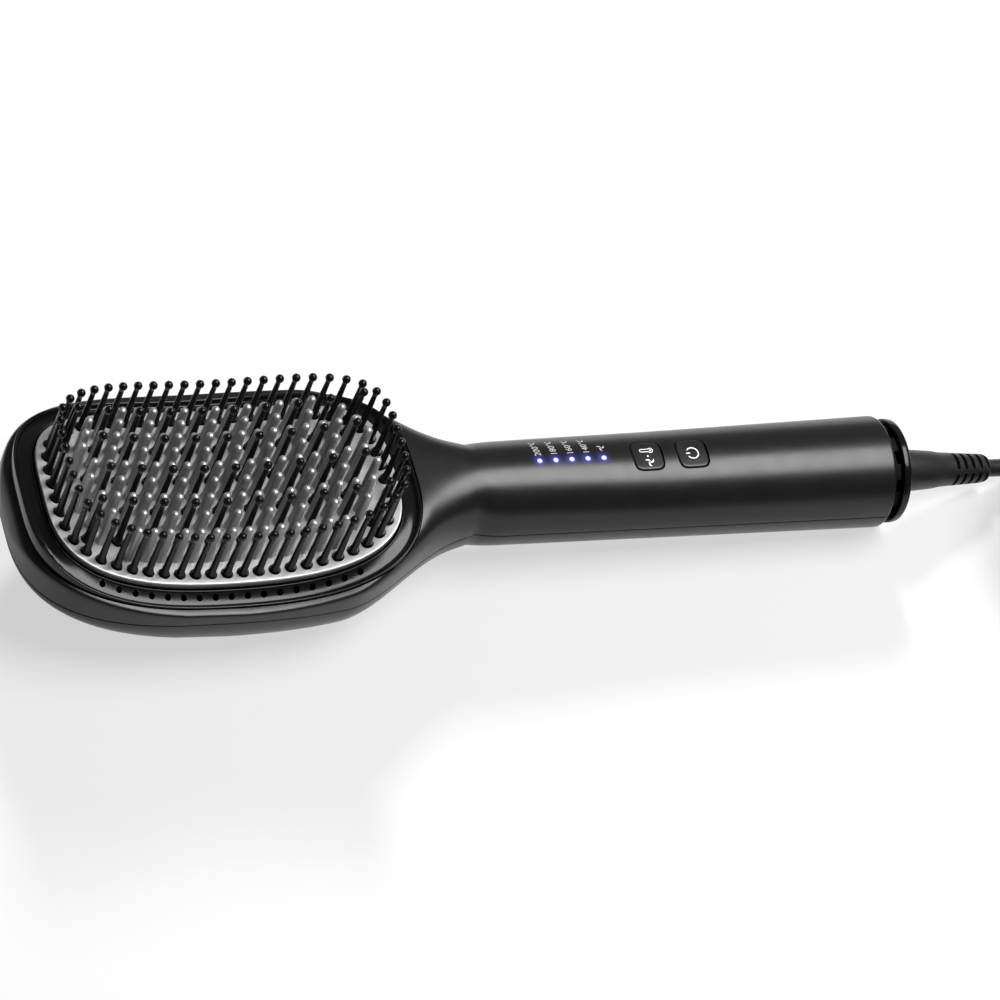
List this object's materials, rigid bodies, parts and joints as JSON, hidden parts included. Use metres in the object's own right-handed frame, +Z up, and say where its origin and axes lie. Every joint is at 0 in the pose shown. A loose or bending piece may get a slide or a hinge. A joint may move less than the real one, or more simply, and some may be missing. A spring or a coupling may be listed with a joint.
{
  "type": "hot air brush",
  "caption": "Saddle-shaped heated hair brush head with silver teeth and ball-tipped pins on a round black handle with buttons, lamps and a swivel cord.",
  "frame": {"origin": "on the surface that the brush lies on, below the middle of the brush's own box, its free cord left out", "axes": "+X from the brush head to the cord, +Z up, the way the pins point as the brush lies on its back; the handle's axis is pitched 1.6 degrees about Y, so that the head's back and the handle's end both touch the surface"},
  "size_m": [0.4112, 0.1307, 0.0611],
  "materials": {
    "shell": "fine matte moulded black",
    "gloss": "polished black",
    "plate": "bright satin silver",
    "pins": "glossy black",
    "ceramic": "dry off-white ceramic",
    "mica": "flaky amber sheet",
    "steel": "plain bright steel",
    "shield": "pressed grey insulating board",
    "board": "green coated circuit board",
    "lamp": "clear, lit blue-white",
    "switch": "plain dark grey",
    "button": "smooth satin black",
    "inner_black": "plain moulded black",
    "white_part": "glazed white",
    "wire": "soft grey sleeve",
    "cable": "satin black",
    "plug": "satin black",
    "plug_metal": "bright nickel"
  },
  "bodies": {
    "brush": {"top_shell": "shell", "bottom_shell": "shell", "air_outlet_bezel": "gloss", "heating_plate": "plate", "pin_carrier": "pins", "ceramic_heater": "ceramic", "mica_sheet": "mica", "heater_clamp": "steel", "thermal_fuse": "white_part", "thermostat": "switch", "heat_shield": "shield", "head_screw_1": "steel", "head_screw_2": "steel", "handle_screw_1": "steel", "handle_screw_2": "steel", "control_board": "board", "led_1": "lamp", "led_2": "lamp", "led_3": "lamp", "led_4": "lamp", "led_5": "lamp", "light_guide": "lamp", "mode_switch": "switch", "power_switch": "switch", "fan_motor": "steel", "motor_holder": "inner_black", "inlet_ring": "inner_black", "end_cap": "gloss", "swivel_retainer": "inner_black", "heater_lead": "wire", "supply_lead": "wire"},
    "power_button": {"power_button": "button"},
    "mode_button": {"mode_button": "button"},
    "impeller": {"motor_shaft": "steel", "fan_impeller": "inner_black"},
    "cord_end": {"cord_boot": "cable", "cord_lead": "cable", "cord_coil": "cable", "cord_tail": "cable", "cord_tie": "cable", "plug_body": "plug", "plug_pin_1": "plug_metal", "plug_pin_2": "plug_metal"}
  },
  "joints": [
    {"name": "power_button_slide", "type": "slide", "parent": "brush", "child": "power_button", "axis": [-0.0285, 0, -0.9996], "range_m": [0, 0.0006], "stiffness_N_per_m": 1500},
    {"name": "mode_button_slide", "type": "slide", "parent": "brush", "child": "mode_button", "axis": [-0.0285, 0, -0.9996], "range_m": [0, 0.0006], "stiffness_N_per_m": 1500},
    {"name": "impeller_spin", "type": "hinge", "parent": "brush", "child": "impeller", "pos_m": [0.10015, 0, 0.01792], "axis": [0.9996, 0, -0.0285], "continuous": true},
    {"name": "cord_swivel", "type": "hinge", "parent": "brush", "child": "cord_end", "pos_m": [0.12015, 0, 0.01735], "axis": [0.9685, 0.1024, -0.2271], "continuous": true}
  ]
}
